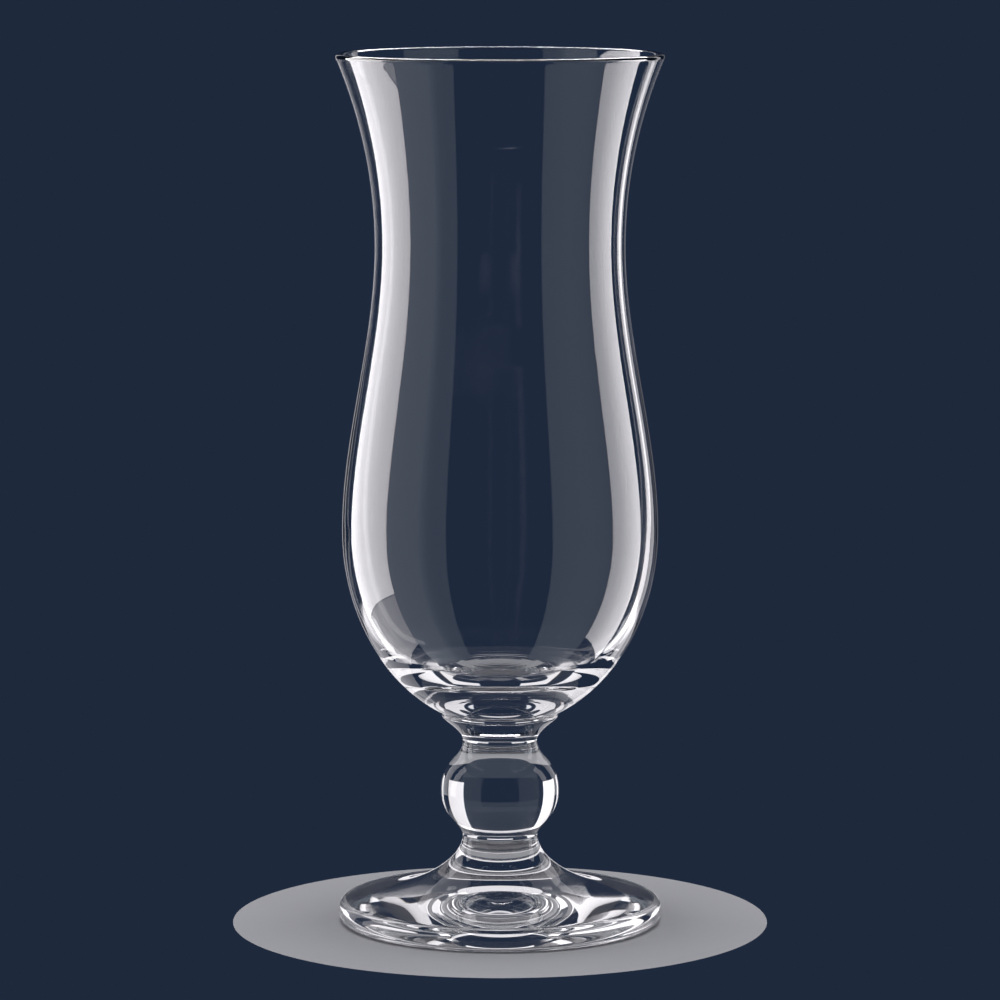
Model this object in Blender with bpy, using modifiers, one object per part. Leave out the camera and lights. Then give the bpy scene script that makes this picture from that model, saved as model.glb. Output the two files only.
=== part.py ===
"""Sling glass: a tall waisted bowl on a ball-knopped stem, four pieces of clear glass fused hot end to end.

Every piece is turned: a half outline in the XZ plane, carried once round the Z axis by a Screw modifier.
The origin is on the axis, at the level of the surface that the foot stands on. Units are metres.
"""

import math

import bpy

MM = 0.001

# Stack of the four pieces, each from joint face to joint face, and the gap kept at every joint
FOOT_HEIGHT = 21.2 * MM
KNOP_HEIGHT = 23.4 * MM
COLLAR_HEIGHT = 7.0 * MM
BOWL_HEIGHT = 161.3 * MM
FUSE_GAP = 0.3 * MM

# Foot: a disc with a rolled edge and a hollowed underside, drawn up into a trumpet
FOOT_RADIUS = 39.95 * MM
FOOT_EDGE_THICKNESS = 5.55 * MM
FOOT_EDGE_ROUND = 2.0 * MM
REST_RING_WIDTH = 6.0 * MM
UNDERSIDE_RISE = 4.0 * MM
TRUMPET_STEM_REACH = 8.2 * MM
TRUMPET_TREAD_REACH = 12.5 * MM
TREAD_TILT = math.radians(3.4)

# Necks, where the foot, the knop and the collar are fused
LOWER_NECK_RADIUS = 9.25 * MM
UPPER_NECK_RADIUS = 9.15 * MM

# Ball knop: a slightly flattened ball that runs into both necks with a fillet
BALL_RADIUS = 14.6 * MM
BALL_HALF_HEIGHT = 12.4 * MM
BALL_CENTRE_HEIGHT = 11.2 * MM
BALL_FILLET_ANGLE = math.radians(40.0)

# Collar: flares from the upper neck to a rounded lip under the bowl
COLLAR_RADIUS = 14.4 * MM
COLLAR_LIP_ROUND = 0.9 * MM
COLLAR_FLARE = math.radians(50.0)

# Bowl outside: heights are above the seam with the collar
SEAM_RADIUS = 14.9 * MM
BELLY_RADIUS = 38.8 * MM
BELLY_HEIGHT = 44.5 * MM
WAIST_RADIUS = 30.6 * MM
WAIST_HEIGHT = 114.5 * MM
RIM_RADIUS = 40.0 * MM
RIM_FLARE = math.radians(22.8)

# Bowl walls, measured square to the axis, then the well: its widest place, glass under it and flat floor
RIM_WALL = 1.75 * MM
WAIST_WALL = 1.8 * MM
BELLY_WALL = 2.4 * MM
WELL_HEIGHT = 47.5 * MM
FLOOR_THICKNESS = 10.1 * MM
FLOOR_RADIUS = 17.0 * MM

# Facets round the axis, and points along each kind of stretch of an outline
TURN_STEPS = 48
LONG_POINTS = 8
BALL_POINTS = 12
SHORT_POINTS = 4
SEAM_MERGE = 0.01 * MM

# Finish of the glass
GLASS_COLOUR = (0.96, 0.97, 0.98, 1.0)
GLASS_ROUGHNESS = 0.02
GLASS_IOR = 1.5

QUARTER_TURN = math.pi / 2
OBJECT_NAME = "sling_glass"


def fractions(count):
    """Even steps from 0 to 1, both ends included."""
    return [index / count for index in range(count + 1)]


def swept_curve(start, start_slope, end, end_slope, count):
    """Cubic stretch of outline between two (radius, height) points, with dr/dz given at both."""
    rise = end[1] - start[1]
    points = []
    for t in fractions(count):
        from_start = (1 + 2 * t) * (1 - t) ** 2 * start[0] + t * (1 - t) ** 2 * rise * start_slope
        to_end = t * t * (3 - 2 * t) * end[0] - t * t * (1 - t) * rise * end_slope
        points.append((from_start + to_end, start[1] + t * rise))
    return points


def elliptic_arc(centre, radius_across, radius_up, start_angle, end_angle, count):
    """Stretch of outline along an ellipse; angles are counted from straight outwards, up is positive."""
    points = []
    for t in fractions(count):
        angle = start_angle + t * (end_angle - start_angle)
        across = centre[0] + radius_across * math.cos(angle)
        up = centre[1] + radius_up * math.sin(angle)
        points.append((across, up))
    return points


def bezier_curve(first, first_handle, last_handle, last, count):
    """Stretch of outline along a cubic Bezier curve."""
    points = []
    for t in fractions(count):
        weights = ((1 - t) ** 3, 3 * t * (1 - t) ** 2, 3 * t * t * (1 - t), t ** 3)
        knots = (first, first_handle, last_handle, last)
        across = sum(weight * knot[0] for weight, knot in zip(weights, knots))
        up = sum(weight * knot[1] for weight, knot in zip(weights, knots))
        points.append((across, up))
    return points


def joined(*stretches):
    """One outline from stretches laid end to end, without the doubled points where they meet."""
    outline = []
    for point in (point for stretch in stretches for point in stretch):
        if not outline or math.dist(point, outline[-1]) > SEAM_MERGE:
            outline.append(point)
    return outline


def foot_outline():
    """Trumpet, tread, rolled edge, flat resting ring and hollowed underside."""
    neck = (LOWER_NECK_RADIUS, FOOT_HEIGHT)
    neck_handle = (LOWER_NECK_RADIUS, FOOT_HEIGHT - TRUMPET_STEM_REACH)
    edge_centre = (FOOT_RADIUS - FOOT_EDGE_ROUND, FOOT_EDGE_THICKNESS / 2)
    tread_end = (edge_centre[0], FOOT_EDGE_THICKNESS)
    tread_handle = (tread_end[0] - TRUMPET_TREAD_REACH,
                    tread_end[1] + TRUMPET_TREAD_REACH * math.tan(TREAD_TILT))
    ring_inner = edge_centre[0] - REST_RING_WIDTH
    return joined(
        [(0, FOOT_HEIGHT)],
        bezier_curve(neck, neck_handle, tread_handle, tread_end, LONG_POINTS + SHORT_POINTS),
        elliptic_arc(edge_centre, FOOT_EDGE_ROUND, FOOT_EDGE_THICKNESS / 2,
                     QUARTER_TURN, -QUARTER_TURN, LONG_POINTS),
        bezier_curve((ring_inner, 0), (ring_inner * 2 / 3, 0),
                     (ring_inner / 3, UNDERSIDE_RISE), (0, UNDERSIDE_RISE), LONG_POINTS),
    )


def knop_outline():
    """Upper fillet, ball and lower fillet, between two flat joint faces."""
    centre = (0, BALL_CENTRE_HEIGHT)
    ball = elliptic_arc(centre, BALL_RADIUS, BALL_HALF_HEIGHT,
                        BALL_FILLET_ANGLE, -BALL_FILLET_ANGLE, BALL_POINTS)
    ball_slope = BALL_RADIUS / BALL_HALF_HEIGHT * math.tan(BALL_FILLET_ANGLE)
    top = (UPPER_NECK_RADIUS, KNOP_HEIGHT)
    bottom = (LOWER_NECK_RADIUS, 0)
    return joined(
        [(0, KNOP_HEIGHT)],
        swept_curve(top, 0, ball[0], -ball_slope, SHORT_POINTS),
        ball,
        swept_curve(ball[-1], ball_slope, bottom, 0, SHORT_POINTS),
        [(0, 0)],
    )


def collar_outline():
    """Flat face under the bowl, rounded lip and flare down to the upper neck."""
    lip_centre = (COLLAR_RADIUS - COLLAR_LIP_ROUND, COLLAR_HEIGHT - COLLAR_LIP_ROUND)
    lip = elliptic_arc(lip_centre, COLLAR_LIP_ROUND, COLLAR_LIP_ROUND,
                       QUARTER_TURN, -COLLAR_FLARE, SHORT_POINTS)
    neck = (UPPER_NECK_RADIUS, 0)
    return joined(
        [(0, COLLAR_HEIGHT)],
        lip,
        swept_curve(lip[-1], math.tan(COLLAR_FLARE), neck, 0, LONG_POINTS),
        [(0, 0)],
    )


def bowl_wall(belly, waist, lip):
    """One side of the wall, rim to belly: flare down to the waist, then a long wave out to the belly."""
    return joined(
        swept_curve(lip, math.tan(RIM_FLARE), waist, 0, LONG_POINTS),
        swept_curve(waist, 0, belly, 0, LONG_POINTS),
    )


def bowl_outline():
    """Inside from the floor up to the rim, over the rounded rim, and down the outside to the seam."""
    rim_round = RIM_WALL / 2
    rim_centre = (RIM_RADIUS - rim_round, BOWL_HEIGHT - rim_round)
    rim = elliptic_arc(rim_centre, rim_round, rim_round, math.pi - RIM_FLARE, -RIM_FLARE, LONG_POINTS)
    inner_belly = (BELLY_RADIUS - BELLY_WALL, WELL_HEIGHT)
    inner_wall = bowl_wall(inner_belly, (WAIST_RADIUS - WAIST_WALL, WAIST_HEIGHT), rim[0])
    well = elliptic_arc((FLOOR_RADIUS, WELL_HEIGHT), inner_belly[0] - FLOOR_RADIUS,
                        WELL_HEIGHT - FLOOR_THICKNESS, -QUARTER_TURN, 0, LONG_POINTS + SHORT_POINTS)
    outer_wall = bowl_wall((BELLY_RADIUS, BELLY_HEIGHT), (WAIST_RADIUS, WAIST_HEIGHT), rim[-1])
    seam_angle = math.acos(SEAM_RADIUS / BELLY_RADIUS)
    under_drop = BELLY_HEIGHT / math.sin(seam_angle)
    under = elliptic_arc((0, BELLY_HEIGHT), BELLY_RADIUS, under_drop, 0, -seam_angle, LONG_POINTS)
    return joined(
        [(0, FLOOR_THICKNESS)],
        well,
        reversed(inner_wall),
        rim,
        outer_wall,
        under,
        [(0, 0)],
    )


def glass_material(name):
    """Clear, colourless, polished glass."""
    material = bpy.data.materials.new(name)
    material.use_nodes = True
    shader = material.node_tree.nodes["Principled BSDF"]
    shader.inputs["Base Color"].default_value = GLASS_COLOUR
    shader.inputs["Metallic"].default_value = 0.0
    shader.inputs["Roughness"].default_value = GLASS_ROUGHNESS
    shader.inputs["IOR"].default_value = GLASS_IOR
    shader.inputs["Transmission Weight"].default_value = 1.0
    return material


def turned_piece(name, outline, base_height, collection, holder):
    """One glass piece: its half outline, turned round the axis and set at its height in the stack."""
    mesh = bpy.data.meshes.new(name)
    vertices = [(across, 0, up) for across, up in outline]
    edges = [(index, index + 1) for index in range(len(outline) - 1)]
    mesh.from_pydata(vertices, edges, [])
    mesh.materials.append(glass_material(name + "_glass"))
    piece = bpy.data.objects.new(name, mesh)
    collection.objects.link(piece)
    piece.parent = holder
    piece.location.z = base_height
    turn = piece.modifiers.new("turn", "SCREW")
    turn.axis = "Z"
    turn.angle = 2 * math.pi
    turn.steps = TURN_STEPS
    turn.render_steps = TURN_STEPS
    turn.use_merge_vertices = True
    turn.merge_threshold = SEAM_MERGE
    turn.use_smooth_shade = True
    return piece


def build():
    """Clears the scene and stacks foot, knop, collar and bowl on one axis."""
    for old in list(bpy.data.objects):
        bpy.data.objects.remove(old, do_unlink=True)
    collection = bpy.data.collections.new(OBJECT_NAME)
    bpy.context.scene.collection.children.link(collection)
    holder = bpy.data.objects.new(OBJECT_NAME + "_axis", None)
    collection.objects.link(holder)
    stack = (
        ("foot", foot_outline(), FOOT_HEIGHT),
        ("ball_knop", knop_outline(), KNOP_HEIGHT),
        ("collar", collar_outline(), COLLAR_HEIGHT),
        ("bowl", bowl_outline(), BOWL_HEIGHT),
    )
    base_height = 0.0
    for name, outline, height in stack:
        turned_piece(name, outline, base_height, collection, holder)
        base_height += height + FUSE_GAP


build()
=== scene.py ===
# %% [markdown]
# A sling glass is a tall drinking glass: a waisted bowl with a flared rim, on a short stem with a ball in
# it. The frame holds its four glass pieces as plain faceted solids. This lesson gives each of them a fine,
# smooth surface and a real glass finish. It then sets up the small studio without which clear glass can't
# be seen.

# %% Load the frame
import math

import bpy
import numpy as np
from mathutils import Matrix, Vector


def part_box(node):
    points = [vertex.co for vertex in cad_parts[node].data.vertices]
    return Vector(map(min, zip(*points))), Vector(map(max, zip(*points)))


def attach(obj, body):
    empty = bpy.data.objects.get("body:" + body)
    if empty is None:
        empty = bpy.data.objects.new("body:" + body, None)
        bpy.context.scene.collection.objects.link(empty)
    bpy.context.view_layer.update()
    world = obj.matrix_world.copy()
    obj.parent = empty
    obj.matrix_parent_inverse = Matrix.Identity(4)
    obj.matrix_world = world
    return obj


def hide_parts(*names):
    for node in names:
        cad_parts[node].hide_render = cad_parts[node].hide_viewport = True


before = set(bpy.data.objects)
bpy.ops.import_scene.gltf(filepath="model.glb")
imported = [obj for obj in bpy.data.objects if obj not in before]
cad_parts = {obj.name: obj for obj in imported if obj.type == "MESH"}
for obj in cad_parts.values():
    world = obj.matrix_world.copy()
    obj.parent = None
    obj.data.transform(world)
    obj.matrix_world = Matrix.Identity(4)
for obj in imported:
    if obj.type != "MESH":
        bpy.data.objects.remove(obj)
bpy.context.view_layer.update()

MM = 0.001
print("nodes in the frame:", ", ".join(sorted(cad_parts)))

# %% [markdown]
# Sizes come from the frame where it knows them: the height of every joint, the rim, the ball and the foot.
# The solids stand a hair apart at their joints, as solids must. Real glass is fused there, so each joint is
# taken half way across its gap, and both neighbours reach it.

# %% Heights and radii from the frame
foot_low, foot_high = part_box("foot")
knop_low, knop_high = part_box("ball_knop")
collar_low, collar_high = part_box("collar")
bowl_low, bowl_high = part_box("bowl")

FOOT_RADIUS = foot_high.x
BALL_RADIUS = knop_high.x
COLLAR_RADIUS = collar_high.x
RIM_RADIUS = bowl_high.x
RIM_HEIGHT = bowl_high.z
FOOT_JOINT = (foot_high.z + knop_low.z) / 2
COLLAR_JOINT = (knop_high.z + collar_low.z) / 2
SEAM = (collar_high.z + bowl_low.z) / 2
print(f"fused at {FOOT_JOINT / MM:.2f}, {COLLAR_JOINT / MM:.2f} and {SEAM / MM:.2f} mm,",
      f"rim at {RIM_HEIGHT / MM:.1f} mm")

# %% [markdown]
# Blown and pressed glass is round, so a piece is half an outline carried once round the axis. An outline
# could be traced point by point, but a few curves with known slopes stay smooth at any resolution, and
# glass shows every bump. Three kinds of stretch are enough: a cubic between two slopes, an arc of an
# ellipse, and a Bezier curve.

# %% Stretches of an outline
FINE = 48
QUARTER = math.pi / 2


def sweep(start, start_slope, end, end_slope, count=FINE):
    """Cubic from start to end, both (radius, height), with the slope dr/dz given at each end."""
    t = np.linspace(0, 1, count + 1)
    rise = end[1] - start[1]
    radius = ((1 + 2 * t) * (1 - t) ** 2 * start[0] + t * (1 - t) ** 2 * rise * start_slope
              + t * t * (3 - 2 * t) * end[0] - t * t * (1 - t) * rise * end_slope)
    return np.column_stack((radius, start[1] + t * rise))


def arc(centre, across, up, start_angle, end_angle, count=FINE):
    """Ellipse: centre plus across times the cosine and up times the sine of an even run of angles."""
    angle = np.linspace(start_angle, end_angle, count + 1)
    return np.column_stack((centre[0] + across * np.cos(angle), centre[1] + up * np.sin(angle)))


def bezier(first, first_handle, last_handle, last, count=FINE):
    """Cubic Bezier: the four points weighted by the four terms of (1 - t) + t to the third power."""
    t = np.linspace(0, 1, count + 1)[:, None]
    return ((1 - t) ** 3 * np.array(first) + 3 * t * (1 - t) ** 2 * np.array(first_handle)
            + 3 * t * t * (1 - t) * np.array(last_handle) + t ** 3 * np.array(last))


print("a stretch has", FINE + 1, "points or more")

# %% [markdown]
# Glass keeps fine ripples where it cooled unevenly. They could be a bump map, but thick glass bends light
# by its true shape, so here the points themselves move. The finished stretches are then laid end to end,
# and the point that two neighbours share is kept once.

# %% Ripple and join stretches
SAME_POINT = 0.0001 * MM


def rippled(stretch, depth, length):
    """Each point moves square to the stretch by depth times the cosine of its way along it, one wave for
    each length, and the waves die away towards both ends as a squared sine."""
    along = np.gradient(stretch, axis=0)
    along /= np.linalg.norm(along, axis=1)[:, None]
    square = np.column_stack((along[:, 1], -along[:, 0]))
    way = np.r_[0, np.cumsum(np.linalg.norm(np.diff(stretch, axis=0), axis=1))]
    wave = depth * np.sin(math.pi * way / way[-1]) ** 2 * np.cos(2 * math.pi * way / length)
    return stretch + wave[:, None] * square


def outline_of(*stretches):
    """Stretches laid end to end, without the doubled point where one meets the next."""
    points = np.concatenate([np.atleast_2d(stretch) for stretch in stretches])
    steps = np.linalg.norm(np.diff(points, axis=0), axis=1)
    return points[np.r_[True, steps > SAME_POINT]]


print(f"points less than {SAME_POINT / MM:.4f} mm apart count as one")

# %% [markdown]
# Clean glass is never quite even. Its skin ripples by a few hundredths of a millimetre, and wiping leaves
# faint smears that soften reflections here and there. Both could be painted as images, but noise in Object
# coordinates needs no unwrapping. Two materials share the effect, so it is a node group that puts out a
# height for Bump and a roughness.

# %% Skin of the glass, as a node group
RIPPLE_DETAIL = 1.0
SMEAR_DETAIL = 3.0
SMEAR_SQUEEZE = (1, 1, 0.3)
SMEAR_START, SMEAR_FULL = 0.5, 0.8


def glass_skin_group():
    """Height is a slow noise; roughness goes from clean to smeared where a second, upright noise is high."""
    group = bpy.data.node_groups.new("glass_skin", "ShaderNodeTree")
    for label, kind in (("Place", "NodeSocketVector"), ("Ripples per metre", "NodeSocketFloat"),
                        ("Smears per metre", "NodeSocketFloat"), ("Clean", "NodeSocketFloat"),
                        ("Smeared", "NodeSocketFloat")):
        group.interface.new_socket(label, in_out="INPUT", socket_type=kind)
    for label in ("Height", "Roughness"):
        group.interface.new_socket(label, in_out="OUTPUT", socket_type="NodeSocketFloat")
    nodes, link = group.nodes, group.links.new
    given = nodes.new("NodeGroupInput")
    made = nodes.new("NodeGroupOutput")
    ripple = nodes.new("ShaderNodeTexNoise")
    ripple.inputs["Detail"].default_value = RIPPLE_DETAIL
    upright = nodes.new("ShaderNodeMapping")
    upright.inputs["Scale"].default_value = SMEAR_SQUEEZE
    smear = nodes.new("ShaderNodeTexNoise")
    smear.inputs["Detail"].default_value = SMEAR_DETAIL
    spread = nodes.new("ShaderNodeMapRange")
    spread.inputs["From Min"].default_value = SMEAR_START
    spread.inputs["From Max"].default_value = SMEAR_FULL
    link(given.outputs["Place"], ripple.inputs["Vector"])
    link(given.outputs["Ripples per metre"], ripple.inputs["Scale"])
    link(given.outputs["Place"], upright.inputs["Vector"])
    link(upright.outputs["Vector"], smear.inputs["Vector"])
    link(given.outputs["Smears per metre"], smear.inputs["Scale"])
    link(smear.outputs["Fac"], spread.inputs["Value"])
    link(given.outputs["Clean"], spread.inputs["To Min"])
    link(given.outputs["Smeared"], spread.inputs["To Max"])
    link(ripple.outputs["Fac"], made.inputs["Height"])
    link(spread.outputs["Result"], made.inputs["Roughness"])
    return group


glass_skin = glass_skin_group()
print("glass_skin takes", [s.name for s in glass_skin.interface.items_tree if s.in_out == "INPUT"])

# %% [markdown]
# The glass itself is soda-lime: colourless, refractive index about 1.5, fully transmitting. Its bowl is
# blown and its stem is pressed in a mould, so the two materials differ in how their skin ripples. Where two
# pieces are fused there is no surface at all, so the joint discs are fully see-through and bend no light.

# %% Glass materials
GLASS_INDEX = 1.5


def glass(name, ripples, ripple_height, smears, clean, smeared):
    """Clear glass with its own ripples and smears per metre, heights in metres."""
    material = bpy.data.materials.new(name)
    material.use_nodes = True
    nodes, link = material.node_tree.nodes, material.node_tree.links.new
    shader = nodes["Principled BSDF"]
    shader.inputs["Base Color"].default_value = (1, 1, 1, 1)
    shader.inputs["Metallic"].default_value = 0.0
    shader.inputs["IOR"].default_value = GLASS_INDEX
    shader.inputs["Transmission Weight"].default_value = 1.0
    place = nodes.new("ShaderNodeTexCoord")
    skin = nodes.new("ShaderNodeGroup")
    skin.node_tree = glass_skin
    skin.inputs["Ripples per metre"].default_value = ripples
    skin.inputs["Smears per metre"].default_value = smears
    skin.inputs["Clean"].default_value = clean
    skin.inputs["Smeared"].default_value = smeared
    bump = nodes.new("ShaderNodeBump")
    bump.inputs["Strength"].default_value = 1.0
    bump.inputs["Distance"].default_value = ripple_height
    link(place.outputs["Object"], skin.inputs["Place"])
    link(skin.outputs["Height"], bump.inputs["Height"])
    link(bump.outputs["Normal"], shader.inputs["Normal"])
    link(skin.outputs["Roughness"], shader.inputs["Roughness"])
    return material


def see_through(name):
    """A face that isn't there: alpha zero all over."""
    material = bpy.data.materials.new(name)
    material.use_nodes = True
    material.node_tree.nodes["Principled BSDF"].inputs["Alpha"].default_value = 0.0
    return material


blown_glass = glass("blown_glass", ripples=45, ripple_height=0.02 * MM, smears=90, clean=0.0, smeared=0.02)
pressed_glass = glass("pressed_glass", ripples=90, ripple_height=0.01 * MM, smears=120, clean=0.0,
                      smeared=0.02)
fused_joint = see_through("fused_joint")
print("glass of index", GLASS_INDEX, "in", blown_glass.name, "and", pressed_glass.name)

# %% [markdown]
# A Screw modifier could spin the outline, but here the surface is worked out as one array: a row for every
# outline point and a column for every step round the axis. That leaves room for the slight unevenness that
# makes glass look made and not computed, as a small offset of each point's radius. An outline either runs
# from the axis to the axis, with a pole at each end, or is a closed loop that makes a ring.

# %% Turn an outline round the axis
TURN_STEPS = 192
TURN = np.linspace(0, 2 * math.pi, TURN_STEPS, endpoint=False)


def turned_surface(outline, uneven):
    """A point is (r cos a, r sin a, z): r and z run along the outline, a runs round the axis, and r is first
    made larger by uneven, one value for each ring and step. Gives the points and the faces."""
    has_poles = outline[0, 0] == 0
    run = outline[1:-1] if has_poles else outline
    radius = run[:, 0, None] + uneven * np.ones(TURN_STEPS)
    height = np.broadcast_to(run[:, 1, None], radius.shape)
    points = np.stack((radius * np.cos(TURN), radius * np.sin(TURN), height), axis=-1).reshape(-1, 3)
    index = np.arange(radius.size).reshape(radius.shape)
    if not has_poles:
        index = np.concatenate((index, index[:1]))
    onward = np.roll(index, -1, axis=1)
    faces = np.stack((index[:-1], index[1:], onward[1:], onward[:-1]), axis=-1).reshape(-1, 4).tolist()
    if has_poles:
        start_pole, end_pole = radius.size, radius.size + 1
        points = np.concatenate((points, ((0, 0, outline[0, 1]), (0, 0, outline[-1, 1]))))
        start_fan = np.column_stack((np.full(TURN_STEPS, start_pole), index[0], onward[0]))
        end_fan = np.column_stack((index[-1], np.full(TURN_STEPS, end_pole), onward[-1]))
        faces = start_fan.tolist() + faces + end_fan.tolist()
    return points, faces


print("every outline point becomes a ring of", TURN_STEPS, "points")

# %% [markdown]
# The arrays then become a mesh. Its faces are shaded smooth, apart from true corners such as the edge of a
# joint, and the strips of faces where it is fused to its neighbours get the see-through material.

# %% Make a glass piece
SHARP = math.radians(30)


def turned_piece(name, outline, skin, joint_rows, uneven=0.0):
    """Mesh of a turned outline. joint_rows names the strips of faces that are fused to the next piece,
    counted along the outline; they get the second material."""
    points, faces = turned_surface(outline, uneven)
    mesh = bpy.data.meshes.new(name)
    mesh.from_pydata(points.tolist(), [], faces)
    mesh.materials.append(skin)
    mesh.materials.append(fused_joint)
    strip = np.arange(len(faces)) // TURN_STEPS
    fused = np.isin(strip, np.array(joint_rows) % (len(faces) // TURN_STEPS))
    mesh.polygons.foreach_set("material_index", fused.astype(np.int32))
    mesh.shade_smooth()
    mesh.set_sharp_from_angle(angle=SHARP)
    piece = bpy.data.objects.new(name, mesh)
    bpy.context.scene.collection.objects.link(piece)
    widest = 2 * np.hypot(points[:, 0], points[:, 1]).max()
    print(f"{name}: {len(points)} points, {len(faces)} faces, widest {widest / MM:.2f} mm")
    return piece


print(f"edges sharper than {math.degrees(SHARP):.0f} degrees stay sharp")

# %% [markdown]
# The bowl is one wall with two sides. Outside, it runs from the rim in to the waist, out to the belly and
# round under the drink to the seam. Inside, it follows at wall thickness, but its belly sits higher and it
# turns to a flat floor by an arc of its own, which leaves the thick lens of glass under the drink. Faint
# rings stay in that floor when it cools, and the light that comes through it shows them.

# %% Bowl outline
BELLY_RADIUS = 38.8 * MM
BELLY_HEIGHT = 97.0 * MM
WAIST_RADIUS = 30.6 * MM
WAIST_HEIGHT = 167.0 * MM
SEAM_RADIUS = 14.9 * MM
RIM_FLARE = math.radians(22.8)
RIM_WALL = 1.75 * MM
WAIST_WALL = 1.8 * MM
BELLY_WALL = 2.4 * MM
WELL_HEIGHT = 100.0 * MM
WELL_FLOOR = 62.6 * MM
FLOOR_RADIUS = 17.0 * MM
FLOOR_RING_DEPTH = 0.05 * MM
FLOOR_RING_SPACING = 2.6 * MM

rim_round = RIM_WALL / 2
rim = arc((RIM_RADIUS - rim_round, RIM_HEIGHT - rim_round), rim_round, rim_round,
          math.pi - RIM_FLARE, -RIM_FLARE)
belly, waist = (BELLY_RADIUS, BELLY_HEIGHT), (WAIST_RADIUS, WAIST_HEIGHT)
inner_belly = (BELLY_RADIUS - BELLY_WALL, WELL_HEIGHT)
inner_waist = (WAIST_RADIUS - WAIST_WALL, WAIST_HEIGHT)
pan = np.column_stack((np.linspace(0, FLOOR_RADIUS, FINE + 1), np.full(FINE + 1, WELL_FLOOR)))
well = arc((FLOOR_RADIUS, WELL_HEIGHT), inner_belly[0] - FLOOR_RADIUS, WELL_HEIGHT - WELL_FLOOR, -QUARTER, 0)
inside = outline_of(rippled(pan, FLOOR_RING_DEPTH, FLOOR_RING_SPACING), well,
                    sweep(inner_belly, 0, inner_waist, 0),
                    sweep(inner_waist, 0, rim[0], math.tan(RIM_FLARE)))
seam_angle = math.acos(SEAM_RADIUS / BELLY_RADIUS)
under = arc((0, BELLY_HEIGHT), BELLY_RADIUS, (BELLY_HEIGHT - SEAM) / math.sin(seam_angle), 0, -seam_angle)
outside = outline_of(sweep(rim[-1], math.tan(RIM_FLARE), waist, 0), sweep(waist, 0, belly, 0), under)
print(f"{len(inside)} points inside, {len(outside)} outside,",
      f"glass under the drink {(WELL_FLOOR - SEAM) / MM:.2f} mm")

# %% [markdown]
# A studio lights the thick base, the thin wall and the bead of the rim in different ways. Blender can give
# lights to whole objects only, so the bowl is cut here into three rings, which meet in see-through faces
# and look like one piece of glass.

# %% Cut the bowl into base, wall and rim
RIM_STEPS = 2
BASE_TOP = 68.0 * MM
LIP_ROUND = 0.9 * MM

base_in = np.argmax(inside[:, 1] > BASE_TOP)
base_out = np.argmax(outside[:, 1] < BASE_TOP)
wall_inside, wall_outside = inside[base_in:-RIM_STEPS], outside[RIM_STEPS:base_out + 1]
wall_outline = outline_of(wall_inside, wall_outside)
base_outline = outline_of(inside[:base_in + 1], outside[base_out:],
                          (COLLAR_RADIUS - LIP_ROUND, SEAM), (0, SEAM))
rim_outline = outline_of(inside[-RIM_STEPS - 1:], rim, outside[:RIM_STEPS + 1])
print(f"outlines of {len(base_outline)}, {len(wall_outline)} and {len(rim_outline)} points")

# %% [markdown]
# Blowing leaves the inside a little uneven, because it never touches a mould. Three slow waves, which run
# round the axis and climb, are enough for reflections to wander as they do on real glass.

# %% Wall of the bowl
WAVE_DEPTH = 0.06 * MM
WAVES = ((2, 30, 0.4), (3, -55, 2.1), (5, 80, 4.0))


def blown_waves(outline):
    """Mean of cosines of (lobes times turn + climb times height + start), in radians, at each ring."""
    height = outline[:, 1, None]
    return sum(np.cos(lobes * TURN + climb * height + start) for lobes, climb, start in WAVES) / len(WAVES)


ring = np.arange(len(wall_outline))
inner_share = np.clip(np.minimum(ring, len(wall_inside) - 1 - ring) / FINE, 0, 1)[:, None]
bowl = turned_piece("bowl_glass", wall_outline, blown_glass, (len(wall_inside) - 1, -1),
                    WAVE_DEPTH * blown_waves(wall_outline) * inner_share)

# %% [markdown]
# The base is the thick bottom of the bowl, from the floor under the drink to the seam. The rim is cut and
# then melted smooth, which leaves a small round bead. Both are turned from their parts of the outline and
# fused to the wall.

# %% Base and rim
base = turned_piece("bowl_base_glass", base_outline, blown_glass, (base_in, -1))
rim_ring = turned_piece("rim_glass", rim_outline, blown_glass, (-1,))

# %% [markdown]
# Under the bowl, the collar spreads the thin neck to a small rounded lip. The groove between that lip and
# the bowl is the seam that shows where the two were joined.

# %% Collar
UPPER_NECK_RADIUS = 9.15 * MM
COLLAR_FLARE = math.radians(50)

lip = arc((COLLAR_RADIUS - LIP_ROUND, SEAM - LIP_ROUND), LIP_ROUND, LIP_ROUND, QUARTER, -COLLAR_FLARE)
flare = sweep(lip[-1], math.tan(COLLAR_FLARE), (UPPER_NECK_RADIUS, COLLAR_JOINT), 0)
collar = turned_piece("collar_glass", outline_of((0, SEAM), lip, flare, (0, COLLAR_JOINT)),
                      pressed_glass, (0, -1))

# %% [markdown]
# The ball knop is a slightly flattened ball, which runs into both necks with a fillet. It is solid, so it
# works as a strong lens, and shows the whole studio upside down.

# %% Ball knop
LOWER_NECK_RADIUS = 9.25 * MM
BALL_CENTRE = 32.7 * MM
BALL_HALF_HEIGHT = 12.4 * MM
FILLET_ANGLE = math.radians(40)

ball = arc((0, BALL_CENTRE), BALL_RADIUS, BALL_HALF_HEIGHT, FILLET_ANGLE, -FILLET_ANGLE, 2 * FINE)
ball_slope = BALL_RADIUS / BALL_HALF_HEIGHT * math.tan(FILLET_ANGLE)
upper_fillet = sweep((UPPER_NECK_RADIUS, COLLAR_JOINT), 0, ball[0], -ball_slope)
lower_fillet = sweep(ball[-1], ball_slope, (LOWER_NECK_RADIUS, FOOT_JOINT), 0)
knop = turned_piece("ball_knop_glass",
                    outline_of((0, COLLAR_JOINT), upper_fillet, ball, lower_fillet, (0, FOOT_JOINT)),
                    pressed_glass, (0, -1))

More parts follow.
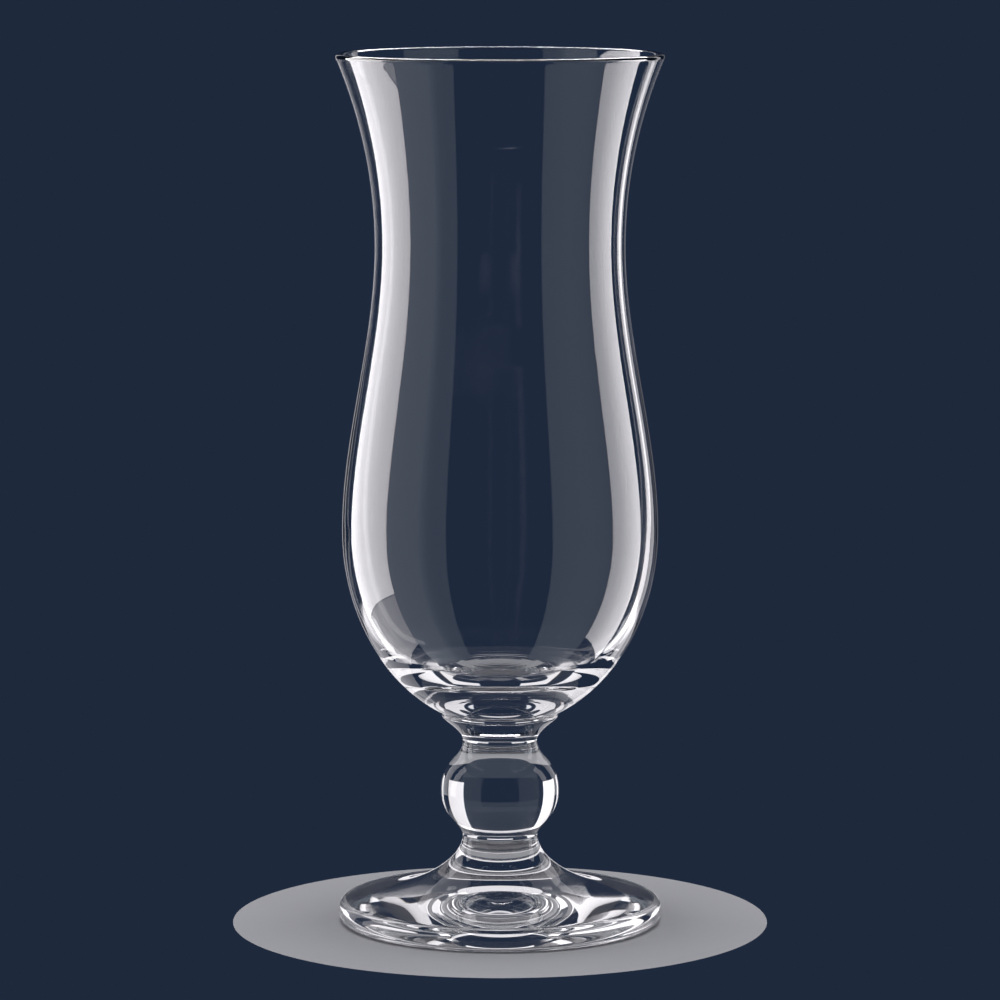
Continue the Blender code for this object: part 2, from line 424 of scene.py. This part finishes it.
# %% [markdown]
# The foot is a trumpet that flattens into a tread with a rolled edge. Underneath, it stands on a ring near
# that edge and is hollowed towards the middle, so that it doesn't rock.

# %% Foot
EDGE_THICKNESS = 5.55 * MM
EDGE_ROUND = 2.0 * MM
REST_RING_WIDTH = 6.0 * MM
UNDERSIDE_RISE = 4.0 * MM
STEM_REACH = 8.2 * MM
TREAD_REACH = 12.5 * MM
TREAD_TILT = math.radians(3.4)

edge_centre = (FOOT_RADIUS - EDGE_ROUND, EDGE_THICKNESS / 2)
tread_end = (edge_centre[0], EDGE_THICKNESS)
tread_handle = (tread_end[0] - TREAD_REACH, tread_end[1] + TREAD_REACH * math.tan(TREAD_TILT))
trumpet = bezier((LOWER_NECK_RADIUS, FOOT_JOINT), (LOWER_NECK_RADIUS, FOOT_JOINT - STEM_REACH),
                 tread_handle, tread_end, 4 * FINE)
edge = arc(edge_centre, EDGE_ROUND, EDGE_THICKNESS / 2, QUARTER, -QUARTER)
ring_inner = edge_centre[0] - REST_RING_WIDTH
hollow = bezier((ring_inner, 0), (ring_inner * 2 / 3, 0),
                (ring_inner / 3, UNDERSIDE_RISE), (0, UNDERSIDE_RISE))
foot = turned_piece("foot_glass", outline_of((0, FOOT_JOINT), trumpet, edge, hollow), pressed_glass, (0,))

# %% [markdown]
# Nothing moves on a drinking glass, so all the pieces ride on the one body of the frame. Collar, knop and
# foot each stand for the solid of that name, and base, wall and rim stand for the bowl together.

# %% Hang the pieces on the frame
STANDS_FOR = ((bowl, "bowl"), (base, "bowl"), (rim_ring, "bowl"),
              (collar, "collar"), (knop, "ball_knop"), (foot, "foot"))

for piece, node in STANDS_FOR:
    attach(piece, "root")
    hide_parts(node)

# %% [markdown]
# The glass stands on a small round pale table. A wide floor would fill the whole view behind the glass and
# drown its edges, because clear glass is only drawn by what it reflects and bends. A film of air stays
# between foot and table, as on a real one, so that the two surfaces don't fall together.

# %% Floor
TABLE_RADIUS = 66 * MM
AIR_FILM = 0.1 * MM
TABLE_COLOUR = (0.465, 0.465, 0.485, 1)
TABLE_ROUGHNESS = 0.9
TABLE_SHINE = 0.1


def table_top():
    """Disc: one face, whose corners are an even circle of points."""
    points = np.column_stack((TABLE_RADIUS * np.cos(TURN), TABLE_RADIUS * np.sin(TURN),
                              np.full(TURN_STEPS, -AIR_FILM)))
    mesh = bpy.data.meshes.new("table_top")
    mesh.from_pydata(points.tolist(), [], [tuple(range(TURN_STEPS))])
    return mesh


def matt_table():
    """Plain matt paint."""
    material = bpy.data.materials.new("matt_table")
    material.use_nodes = True
    shader = material.node_tree.nodes["Principled BSDF"]
    shader.inputs["Base Color"].default_value = TABLE_COLOUR
    shader.inputs["Roughness"].default_value = TABLE_ROUGHNESS
    shader.inputs["Specular IOR Level"].default_value = TABLE_SHINE
    return material


floor = bpy.data.objects.new("table_top", table_top())
floor.data.materials.append(matt_table())
bpy.context.scene.collection.objects.link(floor)
print(f"table {2 * TABLE_RADIUS / MM:.0f} mm across")

# %% [markdown]
# Behind the glass is a plain dark blue, far away on every side. It is the world's own colour, so the glass
# bends and mirrors the very background that the camera sees.

# %% Backdrop
BACKDROP = (0.0130, 0.0222, 0.0452, 1)

world = bpy.data.worlds.new("backdrop")
world.use_nodes = True
world.node_tree.nodes["Background"].inputs["Color"].default_value = BACKDROP
bpy.context.scene.world = world
print("backdrop", BACKDROP[:3])

# %% [markdown]
# Glass is lit by what surrounds it, so the lights are soft panels that glow. An area lamp would light the
# glass too, but it can't have edges like these: a panel fades out over a narrow margin, warm at one side
# and cool at the other, which gives the thick glass its coloured fringes. The glow is worked out by a few
# small nodes again and again, so each kind has a function.

# %% Small nodes for a glow
MARGIN = 0.012
WARM = (1.0, 0.72, 0.45, 1)
COOL = (0.55, 0.75, 1.0, 1)
WHITE = (1.02, 0.985, 1.005, 1)
SKY = (0.92, 0.99, 1.04, 1)


def ramp(tree, share, places, colours):
    """Colour ramp through the colours, each at its place from 0 to 1, read at the share."""
    node = tree.nodes.new("ShaderNodeValToRGB")
    stops = node.color_ramp.elements
    stops[0].color, stops[1].color = colours[0], colours[-1]
    for place, colour in zip(places[1:-1], colours[1:-1]):
        stops.new(place).color = colour
    tree.links.new(share, node.inputs["Fac"])
    return node.outputs["Color"]


def share_of(tree, value, whole, curve="LINEAR"):
    """The value divided by the whole and held between 0 and 1, along a straight line or a smooth step."""
    node = tree.nodes.new("ShaderNodeMapRange")
    node.interpolation_type = curve
    node.inputs["From Max"].default_value = whole
    tree.links.new(value, node.inputs["Value"])
    return node.outputs["Result"]


def worked_out(tree, operation, first, second):
    """Math node on two inputs, each of them a number or the output of another node."""
    node = tree.nodes.new("ShaderNodeMath")
    node.operation = operation
    for socket, value in zip(node.inputs, (first, second)):
        if isinstance(value, float):
            socket.default_value = value
        else:
            tree.links.new(value, socket)
    return node.outputs["Value"]


print(f"panels fade out over {MARGIN / MM:.0f} mm")

# %% [markdown]
# A panel that makes a fine streak from the front may shine straight through the bowl from another side and
# fill it with white. A studio moves its lights for every picture, but this glass is looked at from all
# sides. The Light Path node knows how a ray has come, so a panel can show in mirrored light only, or only
# in what the outer skin mirrors. The second kind gives one crisp streak, as on a thin wall, where each
# surface of a thick wall would add a streak of its own.

# %% Which light shows a panel
ALL_LIGHT, MIRRORED, OUTER_SKIN = "all light", "mirrored light", "mirrored by the outer skin"


def share_shown(tree, shown):
    """1 for light that shows the panel and 0 for other light. Glossy Depth counts how often a ray was
    mirrored and Transmission Depth how often it went through a surface. Both are held at 1, and the second
    is taken from 1."""
    path = tree.nodes.new("ShaderNodeLightPath")
    if shown == MIRRORED:
        return worked_out(tree, "MINIMUM", path.outputs["Glossy Depth"], 1.0)
    entered = worked_out(tree, "MINIMUM", path.outputs["Transmission Depth"], 1.0)
    return worked_out(tree, "SUBTRACT", 1.0, entered)


print("a panel shows in:", ", ".join((ALL_LIGHT, MIRRORED, OUTER_SKIN)))

# %% [markdown]
# The glow itself is an Emission shader. A panel may have several levels across its width, so that a streak
# can be brighter at its outer edge. A Transparent shader is added to it, so that no panel stands before
# another.

# %% Glow of a panel
def panel_glow(name, width, height, levels, colour, shown):
    """Levels spread evenly across the panel, times a smooth fade at all four edges, times the share of the
    light that shows it. The UV map holds distances in metres, so the distance to the nearer edge is that
    distance folded back at the middle."""
    material = bpy.data.materials.new(name)
    material.use_nodes = True
    tree = material.node_tree
    nodes, link = tree.nodes, tree.links.new
    nodes.remove(nodes["Principled BSDF"])
    place = nodes.new("ShaderNodeTexCoord")
    split = nodes.new("ShaderNodeSeparateXYZ")
    link(place.outputs["UV"], split.inputs["Vector"])
    across = share_of(tree, split.outputs["X"], width)
    margin = MARGIN / width
    tint = ramp(tree, across, (0, margin, 1 - margin, 1), (WARM, colour, colour, COOL))
    greys = [(level, level, level, 1) for level in levels]
    power = ramp(tree, across, np.linspace(0, 1, len(levels)), greys)
    for side, length in (("X", width), ("Y", height)):
        to_edge = worked_out(tree, "PINGPONG", split.outputs[side], length / 2)
        fade = share_of(tree, to_edge, MARGIN, "SMOOTHSTEP")
        power = worked_out(tree, "MULTIPLY", fade, power)
    if shown != ALL_LIGHT:
        power = worked_out(tree, "MULTIPLY", share_shown(tree, shown), power)
    glow = nodes.new("ShaderNodeEmission")
    clear = nodes.new("ShaderNodeBsdfTransparent")
    both = nodes.new("ShaderNodeAddShader")
    link(power, glow.inputs["Strength"])
    link(tint, glow.inputs["Color"])
    link(glow.outputs["Emission"], both.inputs[0])
    link(clear.outputs["BSDF"], both.inputs[1])
    link(both.outputs["Shader"], nodes["Material Output"].inputs["Surface"])
    return material


print("white panels glow in", WHITE[:3], "and sky panels in", SKY[:3])

# %% [markdown]
# The panels stand on a ring round the glass, each a part of an upright cylinder. A place on the ring is a
# turn in degrees from the camera's side, left positive. A photographer hides part of a light from one part
# of the subject with small black cards. Light linking does the same without the cards: a panel lights the
# objects of one collection alone.

# %% Soft panels
PANEL_DISTANCE = 0.8
PANEL_STEPS = 24


def soft_panel(name, subject, turns, heights, levels, colour=WHITE, shown=ALL_LIGHT):
    """Upright strip of a cylinder: a point is PANEL_DISTANCE times (-sin, -cos) of its turn, in degrees, at
    one of two heights in metres. Its light falls on the subject, a collection, alone."""
    low, top = heights
    turn = np.radians(np.linspace(*turns, PANEL_STEPS + 1))
    line = -PANEL_DISTANCE * np.column_stack((np.sin(turn), np.cos(turn)))
    points = np.concatenate([np.column_stack((line, np.full(len(turn), z))) for z in heights])
    step = np.arange(PANEL_STEPS)
    faces = np.column_stack((step, step + 1, step + PANEL_STEPS + 2, step + PANEL_STEPS + 1))
    width = PANEL_DISTANCE * abs(turn[-1] - turn[0])
    mesh = bpy.data.meshes.new(name)
    mesh.from_pydata(points.tolist(), [], faces.tolist())
    across = np.tile(np.linspace(0, width, PANEL_STEPS + 1), 2)
    up = np.repeat((0.0, top - low), PANEL_STEPS + 1)
    uv = np.column_stack((across, up))[faces.ravel()]
    mesh.uv_layers.new(name="panel").data.foreach_set("uv", uv.ravel())
    mesh.materials.append(panel_glow(name, width, top - low, np.atleast_1d(levels), colour, shown))
    panel = bpy.data.objects.new(name, mesh)
    bpy.context.scene.collection.objects.link(panel)
    panel.visible_camera = False
    panel.light_linking.receiver_collection = subject
    print(f"{name}: {turns} degrees, {heights} m, level {levels}, shows in {shown}")


def subject_of(name, members):
    """Collection of the objects that some panels light."""
    subject = bpy.data.collections.new(name)
    for member in members:
        subject.objects.link(member)
    return subject


print(f"panels stand {PANEL_DISTANCE} m from the axis")

# %% [markdown]
# On the bowl, a large panel on each side makes the long streaks, and a dimmer one under the left streak
# lets it run out. Thin panels far back draw the wall where it is seen edge on, two low ones at the back
# light the place where the wall thickens, and one high at the back draws the rim. Dim ones near the camera
# lift the front a little.

# %% Panels for the bowl
LEFT_STREAK = (88, 135.7)
OUTLINE_HEIGHTS = (-0.6, 1.0)
FILL_HEIGHTS = (-1.40, 1.60)
SIDES = (("left", 1), ("right", -1))

bowl_subject = subject_of("lit_as_bowl", (bowl, rim_ring))
rim_subject = subject_of("lit_as_rim", (rim_ring,))
soft_panel("left_streak", bowl_subject, LEFT_STREAK, (-0.27, 0.70), (7.0, 7.0, 7.1, 7.2, 6.8, 6.8, 6.3),
           shown=OUTER_SKIN)
soft_panel("left_tail", bowl_subject, LEFT_STREAK, (-0.70, -0.262), 2.6, shown=OUTER_SKIN)
soft_panel("right_streak", bowl_subject, (-87.3, -121.7), (-0.62, 0.40), (4.6, 5.1, 6.1, 6.7, 6.4),
           shown=OUTER_SKIN)
soft_panel("right_wall", bowl_subject, (-138.5, -149), (-0.62, 0.70), 1.2, shown=MIRRORED)
soft_panel("left_outline", bowl_subject, (160.5, 167), OUTLINE_HEIGHTS, 0.60, shown=MIRRORED)
soft_panel("right_outline", bowl_subject, (-161, -170), OUTLINE_HEIGHTS, 0.15, shown=MIRRORED)
soft_panel("rim_light", rim_subject, (140, 220), (0.60, 1.40), 10)
soft_panel("left_fill", bowl_subject, (59.5, 88.5), FILL_HEIGHTS, 1.17, SKY, OUTER_SKIN)
soft_panel("left_low_fill", bowl_subject, (38, 60.5), FILL_HEIGHTS, (0.62, 0.62, 0.68, 1.1), SKY, OUTER_SKIN)
soft_panel("right_fill", bowl_subject, (-37, -87.8), FILL_HEIGHTS, (0.72, 0.77, 0.80, 0.72, 0.57), SKY,
           OUTER_SKIN)
for side, sign in SIDES:
    soft_panel(f"{side}_low_back", bowl_subject, (140 * sign, 160 * sign), (-0.50, -0.17), 1.0)

# %% [markdown]
# The base is a thick lens, which turns a bright streak into a jagged white patch. So it has calmer panels,
# with the collar: a broad one on each side, small ones at the back for its bright bands, and low ones that
# show in mirrored light only and draw its lower edge.

# %% Panels for the base
BASE_SIDE_HEIGHTS = (-0.15, 1.35)
BASE_LOW_HEIGHTS = (-0.66, -0.14)

base_subject = subject_of("lit_as_base", (base, collar))
soft_panel("left_base", base_subject, (45, 141), BASE_SIDE_HEIGHTS, 1.05)
soft_panel("right_base", base_subject, (-30, -146), BASE_SIDE_HEIGHTS, 1.05)
soft_panel("base_edge", base_subject, (160, 200), BASE_LOW_HEIGHTS, 0.8, shown=MIRRORED)
soft_panel("left_low_base", base_subject, (90, 160), BASE_LOW_HEIGHTS, 0.9, shown=MIRRORED)
for side, sign in SIDES:
    soft_panel(f"{side}_base_back", base_subject, (150 * sign, 168 * sign), (0.05, 0.35), 0.9)

# %% [markdown]
# The ball, the necks and the foot are thick lenses too. They show the panels behind them as white windows,
# and crossed: what stands on the left shows on the right. Dark gaps between the panels become the dark
# crescents that give the ball its roundness. A high panel at the back lights the top of the foot and the
# necks, a small one at the level of the table draws the foot's edge, and dim ones near the camera lift the
# front.

# %% Panels for the stem
STEM_HEIGHTS = (-0.15, 0.70)
STEM_FILL_HEIGHTS = (-0.55, 0.70)

stem_subject = subject_of("lit_as_stem", (collar, knop, foot, floor))
thick_subject = subject_of("lit_as_thick_glass", (collar, knop, foot))
foot_subject = subject_of("lit_as_foot", (foot,))
soft_panel("left_stem_side", stem_subject, (95, 112), STEM_HEIGHTS, 2.0)
soft_panel("left_stem_back", stem_subject, (121.5, 145.4), STEM_HEIGHTS, 1.3)
soft_panel("right_stem_side", stem_subject, (-97, -113), STEM_HEIGHTS, 1.8)
soft_panel("right_stem_back", stem_subject, (-130, -153.5), STEM_HEIGHTS, 0.95)
soft_panel("stem_light", thick_subject, (125, 235), (0.50, 2.60), 0.8)
soft_panel("foot_edge", foot_subject, (166, 194), (-0.12, -0.03), 1.2)
soft_panel("left_stem_fill", stem_subject, (37, 94), STEM_FILL_HEIGHTS, 0.27, SKY)
soft_panel("right_stem_fill", stem_subject, (-37, -94), STEM_FILL_HEIGHTS, 0.18, SKY)

# %% [markdown]
# Through the middle of the ball one sees what is straight behind it, upside down. Four very dim panels
# stand round that place and leave it free, so that the ball has a dark core in a slightly lighter body.

# %% Panels for the ball knop
KNOP_BACK = (150, 210)

knop_subject = subject_of("lit_as_knop", (knop,))
soft_panel("knop_high_back", knop_subject, KNOP_BACK, (0.04, 0.60), 0.026, SKY)
soft_panel("knop_low_back", knop_subject, KNOP_BACK, (-0.50, -0.20), 0.036, SKY)
for side, sign in SIDES:
    soft_panel(f"{side}_knop_back", knop_subject, (150 * sign, 168 * sign), (-0.21, 0.05),
               (0.016, 0.012), SKY)

# %% [markdown]
# One lamp hangs above and lights the table to about the level at which its colour renders as written. It is
# kept out of the glass, where it would show as a white square in the bottom of the bowl, but it still casts
# the soft shadow under the foot.

# %% Overhead lamp
OVERHEAD_SIZE = 1.0
OVERHEAD_HEIGHT = 1.25
OVERHEAD_WATTS = 12.6

lamp = bpy.data.lights.new("overhead", "AREA")
lamp.size = OVERHEAD_SIZE
lamp.energy = OVERHEAD_WATTS
overhead = bpy.data.objects.new("overhead", lamp)
overhead.location.z = OVERHEAD_HEIGHT
overhead.visible_camera = False
overhead.visible_glossy = False
overhead.visible_transmission = False
bpy.context.scene.collection.objects.link(overhead)
print(f"overhead lamp {OVERHEAD_SIZE:.1f} m wide at {OVERHEAD_HEIGHT:.2f} m")

# %% [markdown]
# The camera looks slightly down, from far off with a long lens, as for a product picture. From there the
# rim opens to a thin ellipse and the sides of the glass stay almost parallel.

# %% Camera
CAMERA_DISTANCE = 1243.3 * MM
CAMERA_HEIGHT = 264.6 * MM
CAMERA_PITCH = math.radians(7.333)
LENS = 184.2
SENSOR = 36.0

lens = bpy.data.cameras.new("camera")
lens.sensor_width = SENSOR
lens.lens = LENS
camera = bpy.data.objects.new("camera", lens)
camera.location = (0, -CAMERA_DISTANCE, CAMERA_HEIGHT)
camera.rotation_euler = (QUARTER - CAMERA_PITCH, 0, 0)
bpy.context.scene.collection.objects.link(camera)
bpy.context.scene.camera = camera
print(f"camera {CAMERA_DISTANCE:.2f} m away, {math.degrees(CAMERA_PITCH):.1f} degrees down")

# %% [markdown]
# A ray may cross many glass walls before it gets out, and a path that is cut short turns black. So the
# scene allows far more bounces than usual.

# %% Light paths and colours
GLASS_BOUNCES = 32

scene = bpy.context.scene
scene.view_settings.view_transform = "Standard"
scene.cycles.max_bounces = GLASS_BOUNCES
scene.cycles.transmission_bounces = GLASS_BOUNCES
scene.cycles.glossy_bounces = GLASS_BOUNCES
scene.cycles.transparent_max_bounces = GLASS_BOUNCES
print("a ray may bounce", scene.cycles.max_bounces, "times")
